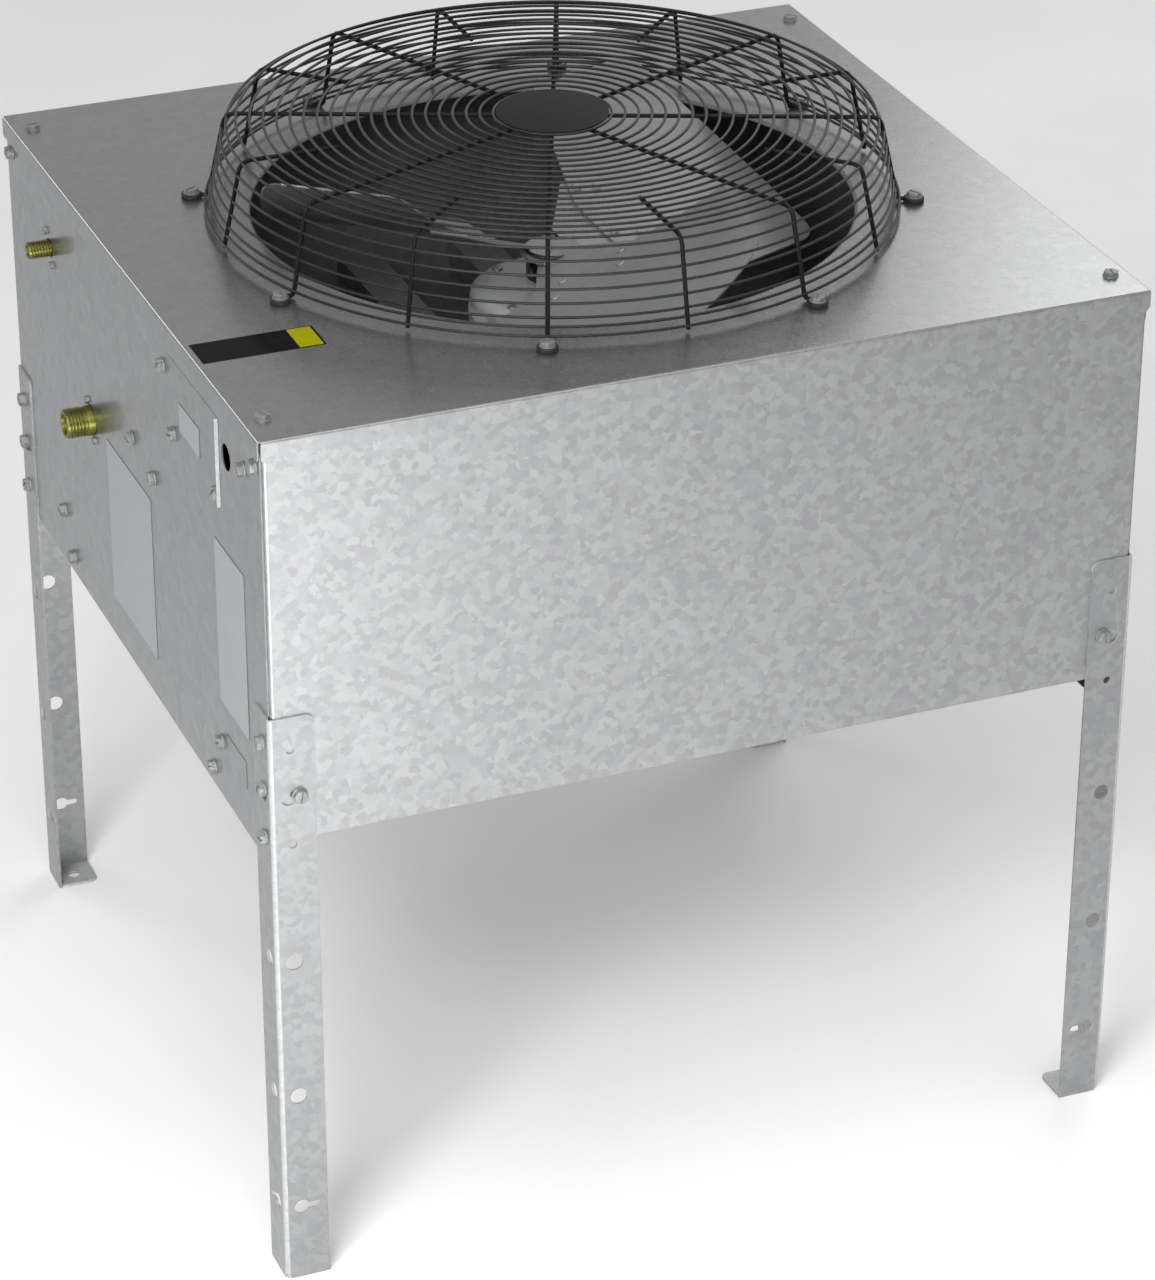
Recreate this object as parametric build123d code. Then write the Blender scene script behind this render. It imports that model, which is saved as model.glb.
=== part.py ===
from build123d import *
import os
from math import cos, radians, sin, sqrt, tan

# Remote condenser: a galvanised sheet-metal cabinet on four angle legs, with a flat coil across
# its open underside, a motor and fan below a round throat in the top cover, a black wire guard
# over the throat and two brass tube couplings through the left panel.
# Millimetres. The origin is on the floor, in the middle of the four feet. X runs along the
# front, Y towards the back and Z up.

# Overall sizes
cover_width = 762.0
cover_depth = 711.0
cover_top = 775.5
leg_height = 534.0
front_panel_bottom = 423.0
side_panel_bottom = 396.0

# Sheet metal
cover_gauge = 1.2
panel_gauge = 1.2
leg_gauge = 2.0
rail_gauge = 1.5
sheet_bend = 3.0
seat_gap = 0.3

# Top cover
cover_lip = 18.0
lip_corner_gap = 1.6
lip_corner_chamfer = 3.0
leg_inset = 0.5
throat_radius = 255.0
throat_roll = 16.0
roll_steps = 4
cover_screw_hole_radius = 3.2
cover_screw_in_x = 17.5
cover_screw_in_y = 39.5

# Panels
corner_return = 30.0
panel_top_flange = 30.0
panel_bottom_flange = 20.0
knockout_radius = 11.1
knockout_in = 89.5
knockout_drop = 53.0
access_in = 120.5
access_width = 97.0
access_drop = 37.5
access_height = 50.0

# Legs: the holes are listed by height
leg_width = 38.3
leg_bend = 3.5
leg_top_corner = 7.0
foot_length = 37.5
foot_corner = 6.0
foot_hole_radius = 5.5
foot_hole_in = 21.0
foot_bend_relief = 5.0
leg_hole_in = 15.8
leg_hole_radius = 7.3
leg_hole_low = 180.0
leg_hole_high = 309.0
small_hole_in = 17.8
small_hole_radius = 3.6
small_hole_low = 419.0
small_hole_high = 505.0
keyhole_radius = 6.6
keyhole_slot_radius = 3.1
keyhole_slot_reach = 12.6
keyhole_low = 70.0
keyhole_high = 461.5

# Control box behind the front end of the left panel, and its access cover
box_in = 37.5
box_width = 225.0
box_drop = 25.5
box_height = 88.0
box_depth = 82.0
box_gauge = 1.2
access_cover_in = 107.5
access_cover_width = 130.0
access_cover_drop = 27.5
access_cover_height = 77.0
access_cover_fin = 3.3
access_cover_gauge = 1.0

# Brass couplings through the left panel
discharge_from_back = 236.0
discharge_drop = 192.5
discharge_thread_radius = 13.3
discharge_bore_radius = 9.2
discharge_reach = 24.5
discharge_line_radius = 7.9
liquid_from_back = 129.0
liquid_drop = 75.0
liquid_thread_radius = 7.9
liquid_bore_radius = 4.8
liquid_reach = 20.0
liquid_line_radius = 4.8
coupling_wall_clearance = 0.8
coupling_flange_thickness = 2.0
coupling_inner_length = 26.0
line_bend = 30.0
line_sides = 12

# Coil
coil_end_room = 39.3
coil_side_room = 31.8
fin_pack_height = 62.0
fin_pack_low = 425.0
tube_sheet_gauge = 1.5
tube_radius = 4.8
tube_row_rise = 38.0
bend_count = 12
bend_pitch = 50.0
bend_sides = 6

# Motor and its rails
motor_radius = 71.0
motor_length = 100.0
motor_top_drop = 79.0
motor_shoulder = 9.0
motor_boss_radius = 16.0
motor_boss_height = 4.0
motor_band_proud = 1.2
motor_band_height = 7.0
motor_foot_gauge = 3.0
motor_foot_width = 150.0
shaft_radius = 6.35
shaft_clearance = 0.3
shaft_into_motor = 30.0
rail_spacing = 110.0
rail_width = 38.0
rail_height = 22.0
rail_tab = 26.0

# Fan: each blade is a curved sheet tilted about its own radial line, low edge first
blade_count = 3
blade_centre_angle = 22.5
blade_tip_radius = 246.0
blade_gauge = 1.6
blade_pitch = 28.4
blade_camber_radius = 380.0
blade_centre_drop = 44.5
blade_camber_offset = 30.0
blade_high_edge = 121.0
blade_low_edge = -96.0
blade_root = 56.0
blade_root_high = 30.0
blade_root_low = -21.0
blade_high_corner = 96.0
blade_low_corner = 108.0
blade_corner_radius = 26.0
blade_cut_drop = 150.0
blade_cut_height = 220.0
spider_gauge = 3.0
spider_disc_radius = 27.0
spider_arm_start = 16.0
spider_neck = 17.0
spider_pad_start = 60.0
spider_pad_end = 100.0
spider_pad_low = -30.0
spider_pad_high = 52.0
hub_radius = 22.6
hub_above = 4.0
hub_below = 25.0
hub_screw_hole_radius = 4.5
hub_screw_drop = 11.0
hub_screw_angle = -157.0

# Wire guard
ring_wire = 2.3
ring_sides = 32
small_ring_sides = 16
small_ring_limit = 110.0
spoke_wire = 3.8
guard_rise = 78.5
guard_disc_radius = 47.5
guard_disc_gauge = 1.5
first_ring_radius = 49.8
top_ring_pitch = 11.3
top_ring_count = 20
side_ring_count = 6
side_ring_high = 64.0
side_ring_drop = 11.0
side_ring_high_radius = 277.4
side_ring_flare = 2.35
shoulder_ring_radius = 273.0
shoulder_ring_rise = 73.8
foot_ring_radius = 288.6
foot_ring_rise = 13.0
base_ring_radius = 292.5
base_ring_rise = 6.5
guard_shoulder_bend = 16.0
long_spoke_count = 8
long_spoke_angle = 22.5
short_spoke_reach = 190.0
guard_screw_radius = 305.0
guard_eye_radius = 7.6
guard_eye_hole_radius = 3.6
washer_radius = 8.6
washer_sides = 16

# Sizes that follow from the ones above
half_width = cover_width / 2
half_depth = cover_depth / 2
leg_face_x = half_width - leg_inset
leg_face_y = half_depth - leg_inset
panel_face_x = leg_face_x - leg_gauge
panel_face_y = leg_face_y - leg_gauge
cover_under = cover_top - cover_gauge
inner_face_x = panel_face_x - panel_gauge
inner_face_y = panel_face_y - panel_gauge
foot_hole_x = leg_face_x - leg_width / 2
foot_hole_y = leg_face_y - foot_hole_in
knockout_y = knockout_in - half_depth
knockout_z = cover_top - knockout_drop
discharge_y = half_depth - discharge_from_back
discharge_z = cover_top - discharge_drop
liquid_y = half_depth - liquid_from_back
liquid_z = cover_top - liquid_drop
motor_top = cover_top - motor_top_drop
motor_bottom = motor_top - motor_length
ring_over_spoke = 0.5
spoke_top = guard_rise - ring_wire / 2 + ring_over_spoke
spoke_middle = spoke_top - spoke_wire / 2
guard_split_radius = first_ring_radius + top_ring_pitch * (top_ring_count - 1) + ring_wire
tube_sheet_x = inner_face_x - coil_end_room
fin_pack_side_y = inner_face_y - coil_side_room

os.makedirs("parts", exist_ok=True)


def save(node, shape):
    """Write one sub-part to its own file."""
    export_step(shape, "parts/" + node + ".step")


def block(x0, x1, y0, y1, z0, z1):
    """A rectangular solid between two corners."""
    size = (x1 - x0, y1 - y0, z1 - z0)
    middle = ((x0 + x1) / 2, (y0 + y1) / 2, (z0 + z1) / 2)
    return Pos(*middle) * Box(*size)


def ring_bar(radius, height, wire):
    """One guard ring of square wire with straight sides between the spokes."""
    sides = ring_sides if radius > small_ring_limit else small_ring_sides
    outer = RegularPolygon(radius + wire / 2, sides)
    inner = RegularPolygon(radius - wire / 2, sides)
    return Pos(0, 0, cover_top + height - wire / 2) * extrude(outer - inner, wire)


def polar(radius, angle):
    """A point in the XY plane from its radius and its angle in degrees."""
    return (radius * cos(radians(angle)), radius * sin(radians(angle)))


def make_top_cover():
    """A shallow folded pan with open corner seams and a throat rolled downwards."""
    plate = block(-half_width, half_width, -half_depth, half_depth, cover_under, cover_top)
    low = cover_top - cover_lip
    lip_y = half_depth - lip_corner_gap
    lip_x = half_width - lip_corner_gap
    lips = []
    for side in (-1, 1):
        edge = side * half_width
        inside = side * (half_width - cover_gauge)
        lip = block(min(edge, inside), max(edge, inside), -lip_y, lip_y, low, cover_under)
        ends = lip.edges().filter_by(Axis.X).group_by(Axis.Z)[0]
        lips.append(chamfer(ends, lip_corner_chamfer))
        edge = side * half_depth
        inside = side * (half_depth - cover_gauge)
        lip = block(-lip_x, lip_x, min(edge, inside), max(edge, inside), low, cover_under)
        ends = lip.edges().filter_by(Axis.Y).group_by(Axis.Z)[0]
        lips.append(chamfer(ends, lip_corner_chamfer))
    cover = plate - Pos(0, 0, cover_top) * Cylinder(throat_radius + throat_roll, 4 * cover_gauge)
    middle_x = throat_radius + throat_roll
    middle_z = cover_top - throat_roll
    outer = []
    inner = []
    for step in range(roll_steps + 1):
        angle = 90 + step * 90 / roll_steps
        along, up = polar(throat_roll, angle)
        outer.append((middle_x + along, middle_z + up))
        along, up = polar(throat_roll - cover_gauge, angle)
        inner.append((middle_x + along, middle_z + up))
    profile = Polyline(*outer, *reversed(inner), close=True)
    roll = revolve(Plane.XZ * make_face(profile), Axis.Z)
    cover = cover + roll
    for lip in lips:
        cover = cover + lip
    for x in (-1, 1):
        for y in (-1, 1):
            at = (x * (half_width - cover_screw_in_x), y * (half_depth - cover_screw_in_y), cover_top)
            cover = cover - Pos(*at) * Cylinder(cover_screw_hole_radius, 4 * cover_gauge)
    return cover


def make_front_panel(side):
    """A plain sheet that turns round both corners behind the end panels; side is -1 at the front."""
    deep = corner_return
    outer = Rectangle(2 * inner_face_x, deep)
    shell = Pos(0, side * (panel_face_y - deep / 2)) * outer
    corners = shell.vertices().group_by(Axis.Y)[0 if side < 0 else -1]
    shell = fillet(corners, sheet_bend)
    hollow = Pos(0, side * (inner_face_y - deep / 2)) * Rectangle(2 * (inner_face_x - panel_gauge), deep)
    corners = hollow.vertices().group_by(Axis.Y)[0 if side < 0 else -1]
    hollow = fillet(corners, sheet_bend - panel_gauge)
    wall = Pos(0, 0, front_panel_bottom) * extrude(shell - hollow, cover_under - front_panel_bottom)
    reach = inner_face_x - panel_gauge - sheet_bend
    near = side * inner_face_y
    far = side * (inner_face_y - panel_bottom_flange)
    low = front_panel_bottom
    flange = block(-reach, reach, min(near, far), max(near, far), low, low + panel_gauge)
    return wall + flange


def make_end_panel(side):
    """An end wall with a flange under the cover and one under the coil; side is -1 at the left."""
    reach = panel_face_y - sheet_bend
    face = side * panel_face_x
    inside = side * inner_face_x
    low_x, high_x = min(face, inside), max(face, inside)
    wall = block(low_x, high_x, -reach, reach, side_panel_bottom, cover_under)
    flange_reach = inner_face_y - corner_return
    end = side * (panel_face_x - panel_top_flange)
    top_low = cover_under - panel_gauge
    wall = wall + block(min(inside, end), max(inside, end), -flange_reach, flange_reach, top_low, cover_under)
    end = side * (panel_face_x - panel_bottom_flange)
    low_high = side_panel_bottom + panel_gauge
    x0, x1 = min(inside, end), max(inside, end)
    wall = wall + block(x0, x1, -flange_reach, flange_reach, side_panel_bottom, low_high)
    for y in (-1, 1):
        at = (side * (half_width - cover_screw_in_x), y * (half_depth - cover_screw_in_y), cover_under)
        wall = wall - Pos(*at) * Cylinder(cover_screw_hole_radius, 4 * panel_gauge)
    return wall


def wall_hole(y, z, radius):
    """A round cutter through the left panel."""
    return Pos(-panel_face_x, y, z) * Rot(0, 90, 0) * Cylinder(radius, 12 * panel_gauge)


def make_left_panel():
    """The end panel with the couplings, the conduit knock-out and the access opening."""
    wall = make_end_panel(-1)
    wall = wall - wall_hole(knockout_y, knockout_z, knockout_radius)
    wall = wall - wall_hole(discharge_y, discharge_z, discharge_thread_radius + coupling_wall_clearance)
    wall = wall - wall_hole(liquid_y, liquid_z, liquid_thread_radius + coupling_wall_clearance)
    reach = 4 * panel_gauge
    low_x, high_x = -panel_face_x - reach, -panel_face_x + reach
    y0 = access_in - half_depth
    z1 = cover_top - access_drop
    return wall - block(low_x, high_x, y0, y0 + access_width, z1 - access_height, z1)


def keyhole(z):
    """A round hole with a short slot that points away from the leg's bend, in the XZ plane."""
    big = Pos(leg_hole_in, z) * Circle(keyhole_radius)
    end = Pos(leg_hole_in + keyhole_slot_reach, z) * Circle(keyhole_slot_radius)
    slot = Pos(leg_hole_in + keyhole_slot_reach / 2, z) * Rectangle(keyhole_slot_reach, 2 * keyhole_slot_radius)
    return big + end + slot


def flange_outline(top_corner):
    """One flange of a leg in the XZ plane, with its corner bend at x = 0."""
    low = foot_bend_relief
    outline = Pos(leg_width / 2, leg_height / 2) * Rectangle(leg_width, leg_height)
    top = outline.vertices().group_by(Axis.Y)[-1].group_by(Axis.X)[-1]
    outline = fillet(top, top_corner)
    bottom = outline.vertices().group_by(Axis.Y)[0].group_by(Axis.X)[0]
    outline = chamfer(bottom, low)
    for z in (leg_hole_low, leg_hole_high):
        outline = outline - Pos(leg_hole_in, z) * Circle(leg_hole_radius)
    for z in (small_hole_low, small_hole_high):
        outline = outline - Pos(small_hole_in, z) * Circle(small_hole_radius)
    for z in (keyhole_low, keyhole_high):
        outline = outline - keyhole(z)
    return outline


def make_leg():
    """An angle leg with its outer corner on the Z axis, its flanges along +X and +Y."""
    angle = Rectangle(leg_width, leg_width) - Pos(leg_gauge, leg_gauge) * Rectangle(leg_width, leg_width)
    angle = Pos(leg_width / 2, leg_width / 2) * angle
    outer = angle.vertices().sort_by_distance((0, 0))[0]
    angle = fillet(outer, leg_bend)
    inner = angle.vertices().sort_by_distance((leg_gauge, leg_gauge))[0]
    angle = fillet(inner, leg_bend - leg_gauge)
    body = extrude(angle, leg_height)
    blank = Pos(leg_width / 2, leg_height / 2) * Rectangle(leg_width, leg_height)
    waste = blank - flange_outline(leg_top_corner)
    depth = leg_gauge + 0.01
    body = body - extrude(Plane.XZ * waste, -depth)
    swap = Plane(origin=(0, 0, 0), x_dir=(0, 1, 0), z_dir=(1, 0, 0))
    body = body - extrude(swap * waste, depth)
    foot = Pos((foot_bend_relief + leg_width) / 2, foot_length / 2) * Rectangle(leg_width - foot_bend_relief, foot_length)
    free = foot.vertices().group_by(Axis.Y)[-1]
    foot = fillet(free, foot_corner)
    foot = foot - Pos(leg_width / 2, foot_hole_in) * Circle(foot_hole_radius)
    return body + extrude(foot, leg_gauge)


def place_leg(leg, side_x, side_y):
    """Turn the leg into one corner of the cabinet."""
    placed = leg
    if side_x > 0:
        placed = mirror(placed, Plane.YZ)
    if side_y > 0:
        placed = mirror(placed, Plane.XZ)
    return Pos(side_x * leg_face_x, side_y * leg_face_y, 0) * placed


def make_control_box():
    """A sheet box open towards the left panel, which closes it."""
    x0 = -inner_face_x
    x1 = x0 + box_depth
    y0 = box_in - half_depth
    y1 = y0 + box_width
    z1 = cover_top - box_drop
    z0 = z1 - box_height
    g = box_gauge
    return block(x0, x1, y0, y1, z0, z1) - block(x0 - g, x1 - g, y0 + g, y1 - g, z0 + g, z1 - g)


def make_access_cover():
    """The flat plate over the access opening, with a fin turned out along its front edge."""
    x1 = -panel_face_x
    x0 = x1 - access_cover_gauge
    y0 = access_cover_in - half_depth
    z1 = cover_top - access_cover_drop
    z0 = z1 - access_cover_height
    plate = block(x0, x1, y0, y0 + access_cover_width, z0, z1)
    return plate + block(x1 - access_cover_fin, x0, y0, y0 + access_cover_gauge, z0, z1)


def make_coupling(y, z, radius, bore, reach, line_radius):
    """A turned brass coupling: bored thread, shoulder, flange behind the panel and tube socket."""
    face = -panel_face_x
    back = -inner_face_x
    flange_back = back + coupling_flange_thickness
    tail_end = back + coupling_inner_length
    socket = line_radius + 1.2
    thread = Pos(face - reach / 2, y, z) * Rot(0, 90, 0) * Cylinder(radius, reach)
    thread = chamfer(thread.edges().group_by(Axis.X)[0], radius * 0.09)
    neck = Pos((face + back) / 2, y, z) * Rot(0, 90, 0) * Cylinder(radius, panel_gauge)
    flange = Pos((back + flange_back) / 2, y, z) * Rot(0, 90, 0) * Cylinder(radius * 1.9, coupling_flange_thickness)
    tail_length = tail_end - flange_back
    tail = Pos(flange_back + tail_length / 2, y, z) * Rot(0, 90, 0) * Cylinder(radius * 0.95, tail_length)
    body = thread + neck + flange + tail
    mouth = Pos(face - reach + reach * 0.3, y, z) * Rot(0, 90, 0) * Cylinder(bore, reach * 0.6 + 0.002)
    socket_depth = tail_length * 0.6
    hole = Pos(tail_end - socket_depth / 2, y, z) * Rot(0, 90, 0) * Cylinder(socket, socket_depth + 0.002)
    return body - mouth - hole


def make_line(y, z, line_radius, end_z):
    """A copper tube from a coupling's socket, turned down to the coil in three short bends."""
    start = -inner_face_x + coupling_inner_length - (coupling_inner_length - coupling_flange_thickness) * 0.55
    turn_x = -inner_face_x + coupling_inner_length + line_bend + 4
    cut = line_bend * 0.45
    points = [(start, y, z), (turn_x - line_bend, y, z), (turn_x - line_bend + cut, y, z - cut * 0.27)]
    points = points + [(turn_x - cut * 0.27, y, z - line_bend + cut), (turn_x, y, z - line_bend)]
    path = Polyline(*points, (turn_x, y, end_z))
    section = Plane(origin=(start, y, z), z_dir=(1, 0, 0)) * RegularPolygon(line_radius, line_sides)
    return sweep(section, path, transition=Transition.RIGHT)


def make_fin_pack():
    """The finned block of the coil."""
    x = tube_sheet_x - tube_sheet_gauge
    y = fin_pack_side_y
    return block(-x, x, -y, y, fin_pack_low, fin_pack_low + fin_pack_height)


def make_tube_sheet(side):
    """The coil's end plate, with feet turned out to the end panel above and below the bends."""
    inside = side * (tube_sheet_x - tube_sheet_gauge)
    face = side * tube_sheet_x
    end = side * inner_face_x
    y = fin_pack_side_y
    z0, z1 = fin_pack_low, fin_pack_low + fin_pack_height
    plate = block(min(inside, face), max(inside, face), -y, y, z0, z1)
    g = tube_sheet_gauge
    top = block(min(face, end), max(face, end), -y, y, z1 - g, z1)
    return plate + top


def make_return_bends(side):
    """U-bends that join the upper and lower tube rows outside the tube sheet."""
    bends = []
    z = fin_pack_low + fin_pack_height / 2
    turn = tube_row_rise / 2
    count = bend_count
    for index in range(count):
        y = (index - (count - 1) / 2) * bend_pitch
        knee = side * turn * 0.45
        points = [(0, 0, turn), (knee, 0, turn), (side * turn, 0, turn * 0.45)]
        points = points + [(side * turn, 0, -turn * 0.45), (knee, 0, -turn), (0, 0, -turn)]
        section = Plane(origin=points[0], z_dir=(side, 0, 0)) * RegularPolygon(tube_radius, bend_sides)
        bend = sweep(section, Polyline(*points), transition=Transition.RIGHT)
        bends.append(Pos(side * tube_sheet_x, y, z) * bend)
    return Compound(children=bends)


def make_motor():
    """A totally enclosed motor: round shell, two seam bands, a boss for its shaft and a foot plate."""
    body = Pos(0, 0, (motor_top + motor_bottom) / 2) * Cylinder(motor_radius, motor_length)
    body = fillet(body.edges().filter_by(GeomType.CIRCLE).group_by(Axis.Z)[-1], motor_shoulder)
    for z in (motor_top - 2.5 * motor_shoulder, motor_bottom + 2.5 * motor_shoulder):
        body = body + Pos(0, 0, z) * Cylinder(motor_radius + motor_band_proud, motor_band_height)
    boss = Pos(0, 0, motor_top + motor_boss_height / 2) * Cylinder(motor_boss_radius, motor_boss_height)
    foot_low = motor_bottom - motor_foot_gauge
    half = motor_foot_width / 2
    foot = block(-half, half, -half, half, foot_low, motor_bottom)
    hole_top = motor_top + motor_boss_height
    bore = Pos(0, 0, hole_top - shaft_into_motor / 2) * Cylinder(shaft_radius + shaft_clearance, shaft_into_motor)
    return body + boss + foot - bore


def make_rail(side):
    """A channel rail from front panel to back panel, with a tab turned down at each end."""
    top = motor_bottom - motor_foot_gauge
    x = side * rail_spacing / 2
    y = inner_face_y
    g = rail_gauge
    outer = block(x - rail_width / 2, x + rail_width / 2, -y, y, top - rail_height, top)
    inner = block(x - rail_width / 2 + g, x + rail_width / 2 - g, -y, y, top - rail_height, top - g)
    rail = outer - inner
    for end in (-1, 1):
        y0, y1 = sorted((end * y, end * (y - g)))
        low = top - rail_height - rail_tab
        rail = rail + block(x - rail_width / 2, x + rail_width / 2, y0, y1, low, top)
    return rail


def blade_sheet(depth, gauge):
    """A curved sheet along +X, tilted about it; its top face lies depth below the blade's."""
    tangent = radians(blade_pitch)
    touch_y = blade_camber_offset
    touch_z = cover_top - blade_centre_drop + touch_y * tan(tangent)
    axis_y = touch_y - blade_camber_radius * sin(tangent)
    axis_z = touch_z + blade_camber_radius * cos(tangent)
    radius = blade_camber_radius + depth
    band = Circle(radius + gauge) - Circle(radius)
    plane = Plane(origin=(0, axis_y, axis_z), x_dir=(0, 1, 0), z_dir=(1, 0, 0))
    window = Pos(-axis_y, -blade_camber_radius) * Rectangle(3 * blade_high_edge, blade_camber_radius)
    return extrude(plane * (band & window), blade_tip_radius + 10)


def blade_outline():
    """The blade's outline in plan: a tip arc between two straight edges, narrowed to the root."""
    high_tip = (sqrt(blade_tip_radius**2 - blade_high_edge**2), blade_high_edge)
    low_tip = (sqrt(blade_tip_radius**2 - blade_low_edge**2), blade_low_edge)
    tip = ThreePointArc(high_tip, (blade_tip_radius, 0), low_tip)
    low_corner = (blade_low_corner, blade_low_edge)
    high_corner = (blade_high_corner, blade_high_edge)
    root_low = (blade_root, blade_root_low)
    root_high = (blade_root, blade_root_high)
    sides = Polyline(low_tip, low_corner, root_low, root_high, high_corner, high_tip)
    outline = make_face([tip, sides])
    corners = outline.vertices().sort_by_distance((0, 0))[-2:]
    return fillet(corners, blade_corner_radius)


def make_blade(index):
    """One stamped blade: the outline cut from the curved sheet."""
    prism = Pos(0, 0, cover_top - blade_cut_drop) * extrude(blade_outline(), blade_cut_height)
    blade = blade_sheet(0, blade_gauge) & prism
    return Rot(0, 0, blade_centre_angle + index * 360 / blade_count) * blade


def make_spider():
    """The hub: a bored barrel under a round plate, with an arm riveted under each blade."""
    plate_top = cover_top - blade_centre_drop - blade_gauge - seat_gap
    low = cover_top - blade_centre_drop - hub_below
    high = plate_top + hub_above
    spider = Pos(0, 0, (low + high) / 2) * Cylinder(hub_radius, high - low)
    spider = spider + Pos(0, 0, plate_top - spider_gauge / 2) * Cylinder(spider_disc_radius, spider_gauge)
    neck = [(spider_arm_start, spider_neck), (spider_arm_start, -spider_neck)]
    pad = [(spider_pad_start, spider_pad_low), (spider_pad_end, spider_pad_low)]
    pad = pad + [(spider_pad_end, spider_pad_high), (spider_pad_start, spider_pad_high)]
    outline = make_face(Polyline(*neck, *pad, close=True))
    outline = fillet(outline.vertices().group_by(Axis.X)[-1], spider_neck / 2)
    prism = Pos(0, 0, cover_top - blade_cut_drop) * extrude(outline, blade_cut_height)
    arm = blade_sheet(blade_gauge + seat_gap, spider_gauge) & prism
    for index in range(blade_count):
        spider = spider + Rot(0, 0, blade_centre_angle + index * 360 / blade_count) * arm
    bore = Pos(0, 0, (low + high) / 2 - 1) * Cylinder(shaft_radius, high - low)
    hole = Pos(hub_radius, 0, cover_top - blade_centre_drop - hub_screw_drop) * Rot(0, 90, 0)
    hole = Rot(0, 0, hub_screw_angle) * hole * Cylinder(hub_screw_hole_radius, hub_radius)
    return spider - bore - hole


def make_shaft():
    """The motor shaft, up into the hub's barrel."""
    low = motor_top + motor_boss_height - shaft_into_motor + 1
    high = cover_top - blade_centre_drop - blade_gauge - seat_gap + hub_above - 1
    return Pos(0, 0, (low + high) / 2) * Cylinder(shaft_radius, high - low)


def make_guard_top():
    """The flat face of the guard: rings over radial spokes, round a plain centre disc."""
    face = Pos(0, 0, cover_top + guard_rise + guard_disc_gauge / 2) * Cylinder(guard_disc_radius, guard_disc_gauge)
    half = spoke_wire / 2
    z0 = cover_top + spoke_top - spoke_wire
    z1 = cover_top + spoke_top
    long_bar = block(guard_disc_radius - 12, guard_split_radius, -half, half, z0, z1)
    short_bar = block(short_spoke_reach, guard_split_radius, -half, half, z0, z1)
    post = Pos(guard_disc_radius - 8, 0, cover_top + guard_rise - 0.5) * Cylinder(half, 3)
    pieces = []
    for index in range(long_spoke_count):
        turn = index * 360 / long_spoke_count
        pieces.append(Rot(0, 0, turn + long_spoke_angle) * (long_bar + post))
        pieces.append(Rot(0, 0, turn) * short_bar)
    for index in range(top_ring_count):
        pieces.append(ring_bar(first_ring_radius + index * top_ring_pitch, guard_rise, ring_wire))
    return face.fuse(*pieces)


def side_rings():
    """Radius and height of each ring on the guard's shoulder and side, from the top down."""
    rings = [(shoulder_ring_radius, shoulder_ring_rise)]
    for index in range(side_ring_count - 1):
        rings.append((side_ring_high_radius + index * side_ring_flare, side_ring_high - index * side_ring_drop))
    rings.append((foot_ring_radius, foot_ring_rise))
    rings.append((base_ring_radius, base_ring_rise))
    return rings


def make_guard_side():
    """The guard's shoulder and side: rings outside bent spokes, with screw eyes on the long ones."""
    half = spoke_wire / 2
    inward = half + ring_wire / 2 - ring_over_spoke
    z = cover_top + spoke_middle
    corner_x = side_ring_high_radius - inward - 0.5
    low_x = base_ring_radius - inward
    low_z = cover_top + base_ring_rise
    start = (guard_split_radius, 0, z)
    corner = (corner_x, 0, z)
    plane = Plane(origin=start, x_dir=(0, 1, 0), z_dir=(1, 0, 0))
    section = plane * Rectangle(spoke_wire, spoke_wire)
    short_path = FilletPolyline(start, corner, (low_x, 0, low_z), radius=8)
    short_spoke = sweep(section, short_path)
    eye_x = guard_screw_radius - guard_eye_radius + 1
    long_path = FilletPolyline(start, corner, (low_x, 0, low_z), (eye_x, 0, low_z), radius=[8, 4])
    long_spoke = sweep(section, long_path)
    eye = Pos(guard_screw_radius, 0, low_z) * Cylinder(guard_eye_radius, spoke_wire)
    eye = eye - Pos(guard_screw_radius, 0, low_z) * Cylinder(guard_eye_hole_radius, 2 * spoke_wire)
    pieces = []
    for index in range(long_spoke_count):
        turn = index * 360 / long_spoke_count
        pieces.append(Rot(0, 0, turn + long_spoke_angle) * (long_spoke + eye))
        pieces.append(Rot(0, 0, turn) * short_spoke)
    rings = [ring_bar(radius, rise, ring_wire) for radius, rise in side_rings()]
    return rings[0].fuse(*rings[1:], *pieces)


def make_washers():
    """The rubber washers that carry the guard's screw eyes."""
    washers = []
    height = base_ring_rise - spoke_wire / 2
    for index in range(long_spoke_count):
        x, y = polar(guard_screw_radius, long_spoke_angle + index * 360 / long_spoke_count)
        washer = RegularPolygon(washer_radius, washer_sides) - RegularPolygon(guard_eye_hole_radius, 8)
        washers.append(Pos(x, y, cover_top) * extrude(washer, height))
    return Compound(children=washers)


save("top_cover", make_top_cover())
save("front_panel", make_front_panel(-1))
save("back_panel", make_front_panel(1))
save("left_panel", make_left_panel())
save("right_panel", make_end_panel(1))
leg = make_leg()
save("leg_front_left", place_leg(leg, -1, -1))
save("leg_front_right", place_leg(leg, 1, -1))
save("leg_back_left", place_leg(leg, -1, 1))
save("leg_back_right", place_leg(leg, 1, 1))
save("control_box", make_control_box())
save("access_cover", make_access_cover())
save("fin_pack", make_fin_pack())
save("tube_sheet_left", make_tube_sheet(-1))
save("tube_sheet_right", make_tube_sheet(1))
save("return_bends_left", make_return_bends(-1))
save("return_bends_right", make_return_bends(1))
line_end = fin_pack_low + fin_pack_height + seat_gap
radius, bore = discharge_thread_radius, discharge_bore_radius
coupling = make_coupling(discharge_y, discharge_z, radius, bore, discharge_reach, discharge_line_radius)
save("discharge_coupling", coupling)
radius, bore = liquid_thread_radius, liquid_bore_radius
coupling = make_coupling(liquid_y, liquid_z, radius, bore, liquid_reach, liquid_line_radius)
save("liquid_coupling", coupling)
save("discharge_line", make_line(discharge_y, discharge_z, discharge_line_radius, line_end))
save("liquid_line", make_line(liquid_y, liquid_z, liquid_line_radius, line_end))
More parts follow.
